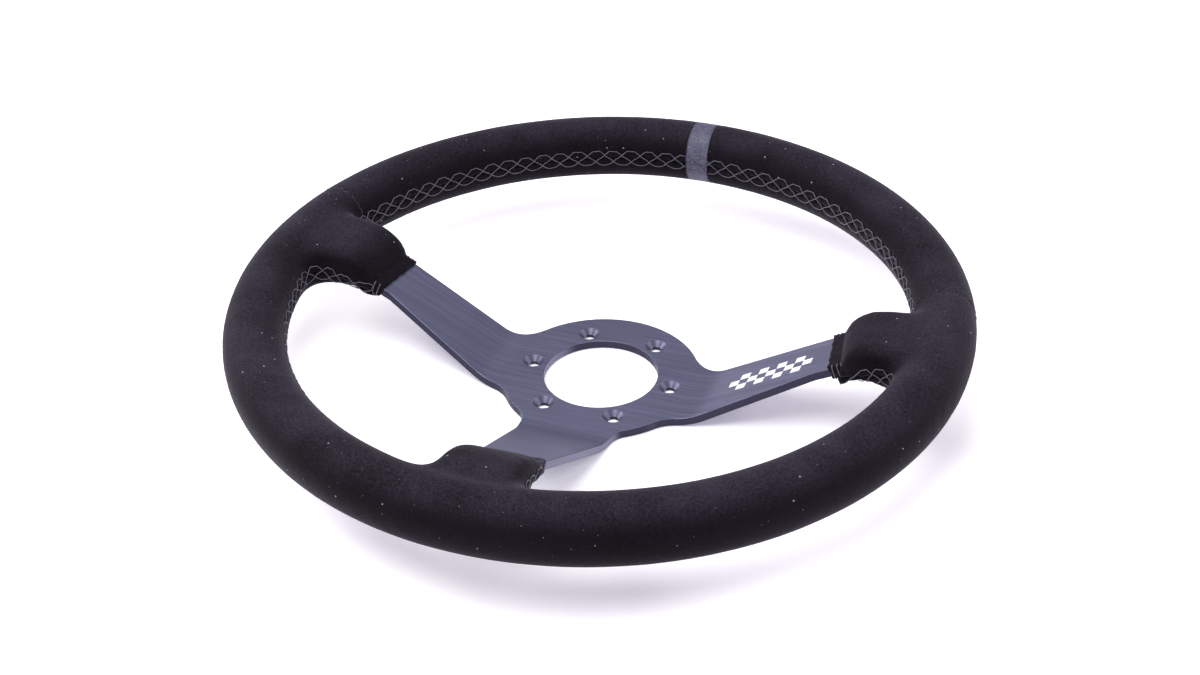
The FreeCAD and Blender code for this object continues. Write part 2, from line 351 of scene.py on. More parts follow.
markerLeather = {
    "base": (0.040, 0.040, 0.070),
    "pale": (0.125, 0.125, 0.200),
}


def makeMarkerLeather():
    material, tree, shader = newMaterial("slateLeather")
    coords = objectCoords(tree)
    grain = addNode(tree, "ShaderNodeTexVoronoi", {"Vector": coords, "Scale": 900.0},
                    feature="DISTANCE_TO_EDGE").outputs["Distance"]
    pebble = ramp(tree, grain, 0.0, 0.22)
    cloud = noise(tree, coords, 160, 4, 0.6)
    tone = mathNode(tree, "MULTIPLY", pebble, ramp(tree, cloud, 0.3, 0.75, 0.45, 1.0))
    tree.links.new(mixColors(tree, tone, markerLeather["base"], markerLeather["pale"]),
                   shader.inputs["Base Color"])
    tree.links.new(ramp(tree, cloud, 0.3, 0.7, 0.62, 0.46), shader.inputs["Roughness"])
    shader.inputs["Specular IOR Level"].default_value = 0.4
    bump(tree, shader, pebble, 0.5, 0.00018)
    return material


# ---- waxed thread

thread = {
    "deep": (0.024, 0.021, 0.034),
    "pale": (0.120, 0.108, 0.160),
    "hidden": (0.006, 0.005, 0.008),     # for seams sewn tone on tone
}


def makeThread(name, deep, pale):
    material, tree, shader = newMaterial(name)
    coords = objectCoords(tree)
    twist = addNode(tree, "ShaderNodeTexWave", {"Vector": coords, "Scale": 900.0,
                                                "Distortion": 2.0, "Detail": 1.0},
                    bands_direction="DIAGONAL").outputs["Fac"]
    cloud = noise(tree, coords, 300, 3, 0.6)
    tone = mathNode(tree, "MULTIPLY_ADD", twist, 0.5, mathNode(tree, "MULTIPLY", cloud, 0.6))
    tree.links.new(mixColors(tree, ramp(tree, tone, 0.2, 0.85), deep, pale),
                   shader.inputs["Base Color"])
    shader.inputs["Roughness"].default_value = 0.42
    shader.inputs["Specular IOR Level"].default_value = 0.55
    bump(tree, shader, twist, 0.5, 0.00012)
    return material


# ---- anodised plate: brushed along X, with a chequered strip printed on the right spoke

anodised = {
    "dark": (0.112, 0.115, 0.175),
    "pale": (0.205, 0.210, 0.320),
    # painted shade on the sawn edges, bolt holes and countersinks
    "paintedEdgeShade": (0.040, 0.038, 0.062),
    "paintedEdgeReflection": (0.170, 0.168, 0.240),    # painted reflection of the bright floor on cut edges that face along the grain
    "print": (0.80, 0.80, 0.82),
    "printStart": 64.5 * mm,
    "printSquare": 4.2 * mm,
    "printSquares": 9,
    "printRows": 3,
    "printBase": -5.0 * mm,
    "printLean": 0.13,
}


def makeAnodised():
    material, tree, shader = newMaterial("anodisedAluminium")
    fine = noise(tree, objectCoords(tree, (14, 3400, 14)), 1.0, 4, 0.62)
    streak = noise(tree, objectCoords(tree, (5, 700, 5)), 1.0, 3, 0.55)
    cloud = noise(tree, objectCoords(tree), 24, 3, 0.5)
    tone = mathNode(tree, "MULTIPLY_ADD", streak, 0.14, mathNode(tree, "MULTIPLY", fine, 0.76))
    tone = mathNode(tree, "MULTIPLY_ADD", cloud, 0.10, tone)
    color = mixColors(tree, ramp(tree, tone, 0.30, 0.70), anodised["dark"], anodised["pale"])
    # painted shade and reflection: sawn edges, bolt holes and countersinks are darkened, and cut edges
    # facing along X lightened
    facing = addNode(tree, "ShaderNodeNewGeometry").outputs["Normal"]
    facing = addNode(tree, "ShaderNodeSeparateXYZ", {"Vector": facing})
    cut = ramp(tree, mathNode(tree, "ABSOLUTE", facing.outputs[2]), 0.50, 0.84, 1, 0)
    endways = ramp(tree, mathNode(tree, "ABSOLUTE", facing.outputs[0]), 0.70, 0.98)
    edge = mixColors(tree, endways, anodised["paintedEdgeShade"], anodised["paintedEdgeReflection"])
    color = mixColors(tree, cut, color, edge)
    place = addNode(tree, "ShaderNodeSeparateXYZ", {"Vector": objectCoords(tree)})
    x, y = place.outputs[0], place.outputs[1]
    square = anodised["printSquare"]
    column = mathNode(tree, "DIVIDE", mathNode(tree, "SUBTRACT", x, anodised["printStart"]), square)
    lean = mathNode(tree, "MULTIPLY", mathNode(tree, "SUBTRACT", x, anodised["printStart"]),
                    anodised["printLean"])
    level = mathNode(tree, "SUBTRACT", mathNode(tree, "SUBTRACT", y, lean), anodised["printBase"])
    row = mathNode(tree, "DIVIDE", level, square)
    parity = mathNode(tree, "ADD", mathNode(tree, "FLOOR", column), mathNode(tree, "FLOOR", row))
    odd = mathNode(tree, "PINGPONG", parity, 1.0)
    inside = mathNode(tree, "MULTIPLY", mathNode(tree, "COMPARE", column,
                      anodised["printSquares"] / 2, anodised["printSquares"] / 2),
                      mathNode(tree, "COMPARE", row, anodised["printRows"] / 2,
                               anodised["printRows"] / 2))
    printed = mathNode(tree, "MULTIPLY", odd, inside)
    color = mixColors(tree, mathNode(tree, "MULTIPLY", printed, 0.92), color, anodised["print"])
    tree.links.new(color, shader.inputs["Base Color"])
    tree.links.new(mathNode(tree, "SUBTRACT", 1.0, printed), shader.inputs["Metallic"])
    tree.links.new(ramp(tree, tone, 0.3, 0.7, 0.42, 0.54), shader.inputs["Roughness"])
    shader.inputs["Anisotropic"].default_value = 0.5
    brushing = addNode(tree, "ShaderNodeCombineXYZ", {0: 0.0, 1: 1.0, 2: 0.0})
    tree.links.new(brushing.outputs[0], shader.inputs["Tangent"])
    bump(tree, shader, tone, 0.2, 0.00012)
    return material


def makePlainMetal(name, color, roughness):
    material, tree, shader = newMaterial(name)
    cloud = noise(tree, objectCoords(tree), 260, 4, 0.6)
    pale = tuple(min(1, value * 1.25) for value in color)
    tree.links.new(mixColors(tree, cloud, color, pale), shader.inputs["Base Color"])
    shader.inputs["Metallic"].default_value = 1
    tree.links.new(ramp(tree, cloud, 0.3, 0.7, roughness, roughness + 0.15),
                   shader.inputs["Roughness"])
    return material


suedeMaterial = makeSuede()
markerMaterial = makeMarkerLeather()
threadMaterial = makeThread("waxedThread", thread["deep"], thread["pale"])
hiddenThread = makeThread("blackThread", thread["hidden"], thread["deep"])
plateMaterial = makeAnodised()
hoopMaterial = makePlainMetal("millAluminium", (0.55, 0.55, 0.57), 0.35)
rivetMaterial = makePlainMetal("zincSteel", (0.45, 0.45, 0.46), 0.3)


def dress(piece, material):
    piece.data.materials.clear()
    piece.data.materials.append(material)


for nodeName, material in (("spoke_plate", plateMaterial), ("rim_hoop", hoopMaterial),
                           ("left_spoke_rivets", rivetMaterial),
                           ("right_spoke_rivets", rivetMaterial),
                           ("bottom_spoke_rivets", rivetMaterial)):
    dress(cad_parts[nodeName], material)
print("materials ready")


# ---- padded grip: one form over rim and pads, later parted into its panels

grip = {
    "voxel": 2.2 * mm,
    "smoothPasses": 9,
    "grow": 0.5 * mm,         # made up for what smoothing takes off the tube
    "sidePad": [
        # reach, low edge, high edge, floor, crown, in millimetres on the right-hand spoke
        (110.0, -9.6, 25.4, 27.2, 38.2),
        (113.0, -10.4, 26.2, 28.0, 43.6),
        (118.0, -10.8, 26.8, 30.4, 48.0),
        (124.0, -11.2, 27.2, 33.0, 51.4),
        (132.0, -11.8, 27.8, 33.6, 53.0),
        (140.0, -12.0, 29.0, 32.0, 53.2),
        (147.0, -13.4, 30.8, 29.6, 53.6),
        (156.0, -16.0, 33.0, 28.6, 53.8),
    ],
    "bottomPad": [
        (110.0, -17.0, 17.0, 27.2, 36.4),
        (113.0, -17.8, 17.8, 28.0, 40.4),
        (118.0, -18.2, 18.2, 30.4, 44.4),
        (124.0, -18.6, 18.6, 33.0, 48.2),
        (132.0, -19.2, 19.2, 33.6, 51.2),
        (140.0, -20.4, 20.4, 32.0, 52.6),
        (147.0, -22.4, 22.4, 29.6, 53.6),
        (156.0, -25.5, 25.5, 28.6, 53.8),
    ],
    "hems": {
        # how far each collar's upper and lower end sit past the nominal reach, in millimetres
        "right": (2.6, 7.6),
        "left": (0.2, 4.0),
        "bottom": (1.0, 2.0),
    },
    "edgeRound": 0.40,        # share of a pad's thickness taken off its long edges
    "cushionFrames": 20,
    "cushionPressure": 4.0,
    "cushionCap": 1.0 * mm,
    "creaseDepth": 0.9 * mm,
    "creaseSize": 30 * mm,
    "skin": 1.1 * mm,
}


def addRimTube():
    clearSelection()
    halfWidth = wheel["tubeHalfWidth"] + grip["grow"]
    halfHeight = wheel["tubeHalfHeight"] + grip["grow"]
    bpy.ops.mesh.primitive_torus_add(major_segments=240, minor_segments=40,
                                     major_radius=wheel["tubeRadius"], minor_radius=halfWidth,
                                     location=(0, 0, wheel["tubeHeight"]))
    tube = bpy.context.object
    editAll(tube)
    bpy.ops.transform.resize(value=(1, 1, halfHeight / halfWidth))
    leaveEdit()
    settle(tube)
    return tube


def isAlongX(piece, edge):
    a, b = (piece.data.vertices[index].co for index in edge.vertices)
    return abs(a.x - b.x) > 0.5 * mm


def addPad(name, stations):
    # a block at the collar, its long edges rounded, then pulled outwards station by station
    clearSelection()
    first = stations[0]
    bpy.ops.mesh.primitive_cube_add(size=1, location=((first[0] + 1) * mm, 0, 0))
    block = bpy.context.object
    block.name = name
    low, high, floor, crown = (value * mm for value in first[1:])
    block.scale = (2 * mm, high - low, crown - floor)
    block.location.y = (low + high) / 2
    block.location.z = (floor + crown) / 2
    settle(block)
    thick = crown - floor
    editPart(block, "EDGE", lambda edge: isAlongX(block, edge))
    bpy.ops.mesh.bevel(offset=thick * grip["edgeRound"], segments=5, affect="EDGES",
                       clamp_overlap=True)
    leaveEdit()
    reach = (first[0] + 2) * mm
    size = (high - low, thick)
    for station in stations[1:]:
        farEnd = max(vertex.co.x for vertex in block.data.vertices)
        editPart(block, "FACE", lambda face: face.center.x > farEnd - 1e-6)
        low, high, floor, crown = (value * mm for value in station[1:])
        bpy.ops.mesh.extrude_region_move(
            TRANSFORM_OT_translate={"value": (station[0] * mm - reach, 0, 0)})
        nextSize = (high - low, crown - floor)
        bpy.ops.transform.resize(value=(1, nextSize[0] / size[0], nextSize[1] / size[1]))
        leaveEdit()
        chosen = [vertex.co for vertex in block.data.vertices if vertex.select]
        middleY = (max(p.y for p in chosen) + min(p.y for p in chosen)) / 2
        middleZ = (max(p.z for p in chosen) + min(p.z for p in chosen)) / 2
        bpy.ops.object.mode_set(mode="EDIT")
        bpy.ops.transform.translate(value=(0, (low + high) / 2 - middleY,
                                           (floor + crown) / 2 - middleZ))
        leaveEdit()
        reach = station[0] * mm
        size = nextSize
    return block


def hemShift(spoke, across, low, high):
    # how far out the collar sits at a place across the spoke: the hems were sewn a little askew
    atHigh, atLow = grip["hems"][spoke]
    share = min(1.0, max(0.0, (high - across) / (high - low)))
    return (atHigh + (atLow - atHigh) * share) * mm


def skewPad(block, spoke, low, high):
    points = meshPoints(block)
    for point in points:
        share = min(1.0, max(0.0, (130 * mm - point[0]) / (20 * mm)))
        point[0] += share * hemShift(spoke, point[1], low, high)
    setPoints(block, points)


def softenCorners(piece):
    # the hollows where rim and pads meet are drawn smooth by the leather stretched over them
    points = meshPoints(piece)
    x, y = points[:, 0], points[:, 1]
    radius = np.hypot(x, y)
    side = (np.abs(x) > wheel["padsFrom"]) * np.exp(-((np.abs(y - 8 * mm) - 26 * mm) / (14 * mm)) ** 2)
    bottom = (y < -wheel["padsFrom"]) * np.exp(-((np.abs(x) - 26 * mm) / (14 * mm)) ** 2)
    share = np.maximum(side, bottom) * np.exp(-((radius - 147 * mm) / (9 * mm)) ** 2)
    group = piece.vertex_groups.new(name="corners")
    for index in np.nonzero(share > 0.02)[0]:
        group.add([int(index)], float(share[index]), "REPLACE")
    applyModifier(piece, "SMOOTH", factor=0.5, iterations=26, vertex_group="corners")


def makeGripForm():
    tube = addRimTube()
    right = addPad("rightPad", grip["sidePad"])
    left = copyPiece(right, "leftPad")
    skewPad(right, "right", wheel["sideLow"], wheel["sideTop"])
    skewPad(left, "left", wheel["sideLow"], wheel["sideTop"])
    editAll(left)
    bpy.ops.transform.resize(value=(-1, 1, 1), center_override=(0, 0, 0))
    bpy.ops.mesh.flip_normals()
    leaveEdit()
    bottom = addPad("bottomPad", grip["bottomPad"])
    skewPad(bottom, "bottom", -wheel["bottomHalf"], wheel["bottomHalf"])
    bottom.rotation_euler = (0, 0, -math.pi / 2)
    settle(bottom)
    pick(tube, right, left, bottom)
    bpy.ops.object.join()
    tube.name = "gripForm"
    applyModifier(tube, "REMESH", mode="VOXEL", voxel_size=grip["voxel"])
    applyModifier(tube, "SMOOTH", factor=0.5, iterations=grip["smoothPasses"])
    softenCorners(tube)
    return tube


def padShare(points):
    # 1 in the middle of a pad, falling to 0 on the plain rim and at the collar
    x, y = points[:, 0], points[:, 1]
    radius = np.hypot(x, y)
    side = np.exp(-(((y - 7.5 * mm) / (17 * mm)) ** 4)) * (np.abs(x) > wheel["padsFrom"])
    bottom = np.exp(-((x / (17 * mm)) ** 4)) * (y < -wheel["padsFrom"])
    along = np.clip((radius - 112 * mm) / (7 * mm), 0, 1) * np.clip((158 * mm - radius) / (14 * mm), 0, 1)
    return np.maximum(side, bottom) * along


def swell(piece):
    # air pressure from inside rounds the pads very slightly; rim and collars stay put
    before = meshPoints(piece)
    share = padShare(before)
    group = piece.vertex_groups.new(name="held")
    for index in np.nonzero(share < 0.98)[0]:
        group.add([int(index)], float(1 - share[index]), "REPLACE")
    pick(piece)
    cloth = piece.modifiers.new("cushion", "CLOTH")
    cloth.settings.quality = 4
    cloth.settings.use_pressure = True
    cloth.settings.uniform_pressure_force = grip["cushionPressure"]
    cloth.settings.effector_weights.gravity = 0
    cloth.settings.vertex_group_mass = "held"
    cloth.settings.mass = 0.3
    cloth.settings.tension_stiffness = 25
    cloth.settings.compression_stiffness = 25
    cloth.settings.bending_stiffness = 2
    cloth.point_cache.frame_end = grip["cushionFrames"]
    for frameNumber in range(1, grip["cushionFrames"] + 1):
        bpy.context.scene.frame_set(frameNumber)
    bpy.ops.object.modifier_apply(modifier=cloth.name)
    bpy.context.scene.frame_set(1)
    move = meshPoints(piece) - before
    size = np.linalg.norm(move, axis=1, keepdims=True)
    cap = grip["cushionCap"]
    move *= np.minimum(1, cap / np.maximum(size, 1e-9))
    setPoints(piece, before + move)
    print("cushioning moved the skin by up to", round(float(size.max()) / mm, 2), "mm, kept to",
          cap / mm)


def crease(piece):
    # slow waves of the leather, stronger on the pads where it is gathered
    texture = bpy.data.textures.new("creaseWaves", "CLOUDS")
    texture.noise_scale = grip["creaseSize"]
    texture.noise_depth = 2
    group = piece.vertex_groups.new(name="gathered")
    share = padShare(meshPoints(piece))
    for index in range(len(share)):
        group.add([index], float(0.22 + 0.78 * share[index]), "REPLACE")
    applyModifier(piece, "DISPLACE", texture=texture, strength=grip["creaseDepth"],
                  mid_level=0.5, vertex_group="gathered")


form = makeGripForm()
print("grip form has", len(form.data.vertices), "points")
swell(form)
crease(form)
applyModifier(form, "SUBSURF", levels=1, render_levels=1)
print("grip skin has", len(form.data.vertices), "points")


# ---- seam guide: where the cover's two edges meet round each opening

seam = {
    "inset": 8.0 * mm,        # the guide runs this far inside the leather
    "corner": 22.0 * mm,      # and turns from pad to rim with this radius
    "start": 109.5 * mm,
    "step": 0.5 * mm,
    "hemRise": 0.4 * mm,
    "row": 4.0 * mm,          # stitch holes to either side of the seam
    "pitch": 10.0 * mm,
    "grooveDepth": 0.75 * mm,
    "grooveHalf": 0.9 * mm,
    "pucker": 0.16 * mm,
    "crossDepth": 0.28 * mm,
    "far": 0.05,              # stands for no seam nearby
    "near": 0.045,
}


def guideHeight(reach):
    share = min(1.0, max(0.0, (reach - 108 * mm) / (38 * mm)))
    share = share * share * (3 - 2 * share)
    hem = rise(110 * mm) + seam["hemRise"]
    return hem + (wheel["tubeHeight"] - hem) * share


def spokeSide(spokeAngle, offset, sign):
    # plan points and gap directions from a collar out to the rim, along one side of a spoke
    ring = wheel["tubeRadius"] - wheel["tubeHalfWidth"] + seam["inset"]
    corner = seam["corner"]
    across = offset + corner
    centre = math.sqrt((ring - corner) ** 2 - across ** 2)
    turn = math.atan2(across, centre)
    path = []
    count = int((centre - seam["start"]) / seam["step"])
    for i in range(count):
        path.append((seam["start"] + i * seam["step"], offset, 0.0, 1.0))
    count = int(corner * (math.pi / 2 + turn) / seam["step"])
    for i in range(count + 1):
        angle = -math.pi / 2 + (math.pi / 2 + turn) * i / count
        c, s = math.cos(angle), math.sin(angle)
        path.append((centre + corner * c, across + corner * s, -c, -s))
    c, s = math.cos(spokeAngle), math.sin(spokeAngle)
    turned = []
    for x, y, dx, dy in path:
        y, dy = sign * y, sign * dy
        turned.append((x * c - y * s, x * s + y * c, dx * c - dy * s, dx * s + dy * c))
    return turned, spokeAngle + sign * turn


def ringArc(fromAngle, toAngle):
    ring = wheel["tubeRadius"] - wheel["tubeHalfWidth"] + seam["inset"]
    count = int(abs(toAngle - fromAngle) * ring / seam["step"])
    path = []
    for i in range(1, count):
        angle = fromAngle + (toAngle - fromAngle) * i / count
        c, s = math.cos(angle), math.sin(angle)
        path.append((ring * c, ring * s, -c, -s))
    return path


def makeGuide(first, last):
    start, fromAngle = spokeSide(*first)
    end, toAngle = spokeSide(*last)
    plan = start + ringArc(fromAngle, toAngle) + end[::-1]
    place = np.array([(x, y, guideHeight(math.hypot(x, y))) for x, y, dx, dy in plan])
    gap = np.array([(dx, dy, 0.0) for x, y, dx, dy in plan])
    tangent = np.gradient(place, axis=0)
    tangent /= np.linalg.norm(tangent, axis=1, keepdims=True)
    above = np.cross(tangent, gap)
    above *= np.sign(above[:, 2:3])
    above /= np.linalg.norm(above, axis=1, keepdims=True)
    return {"place": place, "gap": gap, "above": above}


halfTurn = math.pi
rightHigh = (0.0, wheel["sideTop"] + wheel["padSwell"] - seam["inset"], 1)
rightLow = (0.0, -wheel["sideLow"] + wheel["padSwell"] - seam["inset"], -1)
leftHigh = (halfTurn, wheel["sideTop"] + wheel["padSwell"] - seam["inset"], -1)
leftLow = (halfTurn, -wheel["sideLow"] + wheel["padSwell"] - seam["inset"], 1)
bottomRight = (-halfTurn / 2, wheel["bottomHalf"] + wheel["padSwell"] - seam["inset"], 1)
bottomLeft = (halfTurn * 1.5, wheel["bottomHalf"] + wheel["padSwell"] - seam["inset"], -1)
guides = {
    "upper": makeGuide(rightHigh, leftHigh),
    "lowerRight": makeGuide(bottomRight, rightLow),
    "lowerLeft": makeGuide(leftLow, bottomLeft),
}


def surfaceTree(piece):
    mesh = piece.data
    points = [vertex.co.copy() for vertex in mesh.vertices]
    return BVHTree.FromPolygons(points, [tuple(face.vertices) for face in mesh.polygons])


def castFrom(tree, guide, run, side, lift):
    # the leather's surface beside the seam, run and side measured along and across it
    index = min(len(guide["place"]) - 1.001, max(0.0, run / seam["step"]))
    low = int(index)
    share = index - low
    place = guide["place"][low] * (1 - share) + guide["place"][low + 1] * share
    gap = guide["gap"][low]
    start = Vector(place + guide["above"][low] * side)
    hit, normal, face, distance = tree.ray_cast(start, Vector(gap), 30 * mm)
    if hit is None:
        hit, normal, face, distance = tree.find_nearest(start + Vector(gap) * seam["inset"])
    if normal.dot(Vector(gap)) < 0:
        normal = -normal
    return hit + normal * lift


formTree = surfaceTree(form)
for guide in guides.values():
    guide["line"] = [castFrom(formTree, guide, i * seam["step"], 0, 0)
                     for i in range(len(guide["place"]))]
    guide["length"] = (len(guide["place"]) - 1) * seam["step"]
print("seams are", [round(guide["length"] / mm) for guide in guides.values()], "mm long")


def markSeam(piece):
    # distance across and along the nearest seam, kept on the mesh for groove and colour
    lines = [(name, i) for name, guide in guides.items() for i in range(len(guide["line"]))]
    finder = KDTree(len(lines))
    for index, (name, i) in enumerate(lines):
        finder.insert(guides[name]["line"][i], index)
    finder.balance()
    points = meshPoints(piece)
    side = np.full(len(points), seam["far"])
    run = np.zeros(len(points))
    for index, point in enumerate(points):
        nearest, found, distance = finder.find(point)
        if distance < 14 * mm:
            name, i = lines[found]
            guide = guides[name]
            side[index] = (point - guide["line"][i]) @ guide["above"][i]
            run[index] = i * seam["step"]
    for attribute, values in (("seamSide", side), ("seamRun", run)):
        layer = piece.data.attributes.new(attribute, "FLOAT", "POINT")
        layer.data.foreach_set("value", values.astype(np.float32))
    return side, run


def sinkSeam(piece):
    side, run = markSeam(piece)
    normals = meshNormals(piece)
    groove = seam["grooveDepth"] * np.exp(-(side / seam["grooveHalf"]) ** 2)
    wave = np.cos(2 * np.pi * run / (seam["pitch"] / 2)) * np.exp(-(side / (6 * mm)) ** 2)
    pull = 0.18 * mm * np.exp(-((np.abs(side) - seam["row"]) / (1.1 * mm)) ** 2)
    depth = groove + pull + seam["pucker"] * wave * (np.abs(side) < seam["near"])
    setPoints(piece, meshPoints(piece) - normals * depth[:, None])


sinkSeam(form)
formTree = surfaceTree(form)


# ---- cover panels parted along the cross seams and the marker's edges

crossPlane = (-math.sin(wheel["crossAngle"]), math.cos(wheel["crossAngle"]))


def crossDistance(x, y):
    # how far above the cross seam's plane, the same on both sides of the wheel
    return abs(x) * crossPlane[0] + y * crossPlane[1]


def cutPanels(piece):
    for sign in (1, -1):
        editPart(piece, "FACE", lambda face: face.center.x * sign > wheel["padsFrom"]
                 and abs(crossDistance(face.center.x, face.center.y)) < 8 * mm)
        bpy.ops.mesh.bisect(plane_co=(0, 0, 0), plane_no=(sign * crossPlane[0], crossPlane[1], 0))
        leaveEdit()
        editPart(piece, "FACE", lambda face: face.center.y > 0
                 and abs(face.center.x - sign * wheel["markerHalf"]) < 6 * mm)
        bpy.ops.mesh.bisect(plane_co=(sign * wheel["markerHalf"], 0, 0), plane_no=(1, 0, 0))
        leaveEdit()
    points = meshPoints(piece)
    x, y = points[:, 0], points[:, 1]
    cross = np.abs(x) * crossPlane[0] + y * crossPlane[1]
    nearCross = np.exp(-(cross / (0.9 * mm)) ** 2) * (np.abs(x) > wheel["padsFrom"])
    nearMarker = np.exp(-((np.abs(x) - wheel["markerHalf"]) / (0.9 * mm)) ** 2) * (y > 0)
    depth = seam["crossDepth"] * np.maximum(nearCross, nearMarker)
    setPoints(piece, points - meshNormals(piece) * depth[:, None])


def inMarker(place):
    return abs(place.x) < wheel["markerHalf"] and place.y > 0


def inUpper(place, sign):
    return place.x * sign > wheel["markerHalf"] and crossDistance(place.x, place.y) > 0


def inLower(place):
    return crossDistance(place.x, place.y) <= 0 and not inMarker(place)


def spokeFrame(place):
    # reach along and offset across the spoke a point is nearest to, with that spoke's edges
    if abs(place.x) > abs(place.y) or place.y > 0:
        return abs(place.x), place.y, wheel["sideLow"], wheel["sideTop"]
    return -place.y, place.x, -wheel["bottomHalf"], wheel["bottomHalf"]


def insidePlate(place):
    reach, across, low, high = spokeFrame(place)
    if reach > 122 * mm or not low - 0.6 * mm < across < high + 0.6 * mm:
        return False
    lean = math.cos(math.atan(wheel["spokeSlope"]))
    return abs(place.z - rise(reach)) * lean < wheel["plateHalf"] + 0.7 * mm


def keepFaces(piece, test):
    editPart(piece, "FACE", lambda face: not test(face.center))
    bpy.ops.mesh.delete(type="FACE")
    leaveEdit()


collar = {
    "reach": 107.0 * mm,
    "length": 9.5 * mm,
    "skin": 1.15 * mm,
    "round": 1.5 * mm,
    "ragged": 0.30 * mm,
    "raggedRun": 2.2 * mm,    # how far back from the cut edge the raggedness dies out
    "puff": 0.14 * mm,
}


def addCollar(name, spoke, low, high, seed):
    # the cover's folded end: a flat sleeve tight on the plate, its cut edge slightly ragged
    rng = random.Random(seed)
    clearSelection()
    lean = math.atan(wheel["spokeSlope"])
    run = collar["length"] / math.cos(lean)
    skin = collar["skin"]
    bpy.ops.mesh.primitive_cube_add(size=1)
    sleeve = bpy.context.object
    sleeve.name = name
    sleeve.scale = (run, high - low + 2 * skin, 2 * (wheel["plateHalf"] + skin))
    settle(sleeve)
    editPart(sleeve, "EDGE", lambda edge: isAlongX(sleeve, edge))
    bpy.ops.mesh.bevel(offset=collar["round"], segments=4, affect="EDGES", clamp_overlap=True)
    leaveEdit()
    editPart(sleeve, "FACE", lambda face: abs(face.normal.x) > 0.9)
    bpy.ops.mesh.delete(type="FACE")
    leaveEdit()
    editAll(sleeve)
    bpy.ops.mesh.subdivide(number_cuts=9)
    leaveEdit()
    points = meshPoints(sleeve)
    half = run / 2
    for point in points:
        share = max(0.0, 1 - (point[0] + half) / collar["raggedRun"])
        phase = (point[1] + point[2]) / mm
        wave = math.sin(phase * 0.9 + seed) + 0.6 * math.sin(phase * 2.3 + 2 * seed)
        point[0] += share * collar["ragged"] * (wave + rng.uniform(-0.5, 0.5))
        puff = math.sin(phase * 0.55 + 3 * seed) + math.sin(point[0] / mm * 0.8)
        point[2] += math.copysign(collar["puff"] * (1 + puff), point[2])
        point[0] += hemShift(spoke, point[1] + (low + high) / 2, low, high) / math.cos(lean)
    setPoints(sleeve, points)
    applyModifier(sleeve, "SOLIDIFY", thickness=skin * 0.92, offset=-1)
    middle = collar["reach"] + collar["length"] / 2
    sleeve.rotation_euler = (0, -lean, 0)
    sleeve.location = (middle, (low + high) / 2, rise(middle))
    settle(sleeve)
    return sleeve


def addCollars():
    right = addCollar("rightCollar", "right", wheel["sideLow"], wheel["sideTop"], 3)
    left = addCollar("leftCollar", "left", wheel["sideLow"], wheel["sideTop"], 5)
    editAll(left)
    bpy.ops.transform.resize(value=(-1, 1, 1), center_override=(0, 0, 0))
    bpy.ops.mesh.flip_normals()
    leaveEdit()
    bottom = addCollar("bottomCollar", "bottom", -wheel["bottomHalf"], wheel["bottomHalf"], 8)
    bottom.rotation_euler = (0, 0, -math.pi / 2)
    settle(bottom)
    return [right, left, bottom]


def markFar(piece):
    # pieces with no seam of their own count as far from one
    values = np.full(len(piece.data.vertices), seam["far"], dtype=np.float32)
    layer = piece.data.attributes.new("seamSide", "FLOAT", "POINT")
    layer.data.foreach_set("value", values)
    layer = piece.data.attributes.new("seamRun", "FLOAT", "POINT")
    layer.data.foreach_set("value", values * 0)


def thicken(panel):
    applyModifier(panel, "SOLIDIFY", thickness=grip["skin"], offset=-1)


def finishPanel(panel, nodes, material):
    dress(panel, material)
    pick(panel)
    bpy.ops.object.shade_smooth()
    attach(panel, "root")
    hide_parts(*nodes)


cutPanels(form)
lowerCover = copyPiece(form, "lowerCover")
keepFaces(lowerCover, lambda place: inLower(place) and not insidePlate(place))
upperRight = copyPiece(form, "upperRightCover")
keepFaces(upperRight, lambda place: inUpper(place, 1))
upperLeft = copyPiece(form, "upperLeftCover")
keepFaces(upperLeft, lambda place: inUpper(place, -1))
centreMarker = form
centreMarker.name = "centreMarker"
keepFaces(centreMarker, inMarker)
for panel in (upperRight, upperLeft, centreMarker, lowerCover):
    thicken(panel)
finishPanel(upperRight, ["cover_upper_right"], suedeMaterial)
finishPanel(upperLeft, ["cover_upper_left"], suedeMaterial)
finishPanel(centreMarker, ["centre_marker"], markerMaterial)
sleeves = addCollars()
for sleeve in sleeves:
    markFar(sleeve)
pick(lowerCover, *sleeves)
bpy.ops.object.join()
finishPanel(lowerCover, ["cover_lower", "foam_grip"], suedeMaterial)
print("cover parted into four panels, collars on")


# ---- lacing: three strands crossing between two rows of holes

lacing = {
    "radius": 0.23 * mm,
    "step": 1.3 * mm,
    "edge": 0.2,              # half of each stitch that lies along the edge, in pitches
    "lower": (1.3, 1.7),
    "wander": 0.35 * mm,
}


def strandCorners(length, first, rng):
    # run and side of each hole a strand visits, with the run starting at the hem
    corners = []
    k = first
    pitch, row, wander = seam["pitch"], seam["row"], lacing["wander"]
    while (k + 3) * pitch < length + pitch:
        for share, side in ((k - lacing["edge"], row), (k + lacing["edge"], row),
                            (k + lacing["lower"][0], -row), (k + lacing["lower"][1], -row)):
            run = share * pitch + rng.uniform(-wander, wander)
            corners.append((run, side + rng.uniform(-wander, wander) * 0.7))
        k += 3
    return corners


def layStrand(tree, guide, corners, fromRun, toRun):
    # points along the leather between the holes, lifted where the thread is in the open
    points = []
    for (runA, sideA), (runB, sideB) in zip(corners[:-1], corners[1:]):
        span = math.hypot(runB - runA, sideB - sideA)
        count = max(2, int(span / lacing["step"]))
        for i in range(count):
            share = i / count
            run = runA + (runB - runA) * share
            if not fromRun < run < toRun:
                continue
            side = sideA + (sideB - sideA) * share
            lift = lacing["radius"] * (0.1 + 1.7 * math.sin(math.pi * share) ** 0.6)
            points.append(castFrom(tree, guide, run, side, lift))
    return points


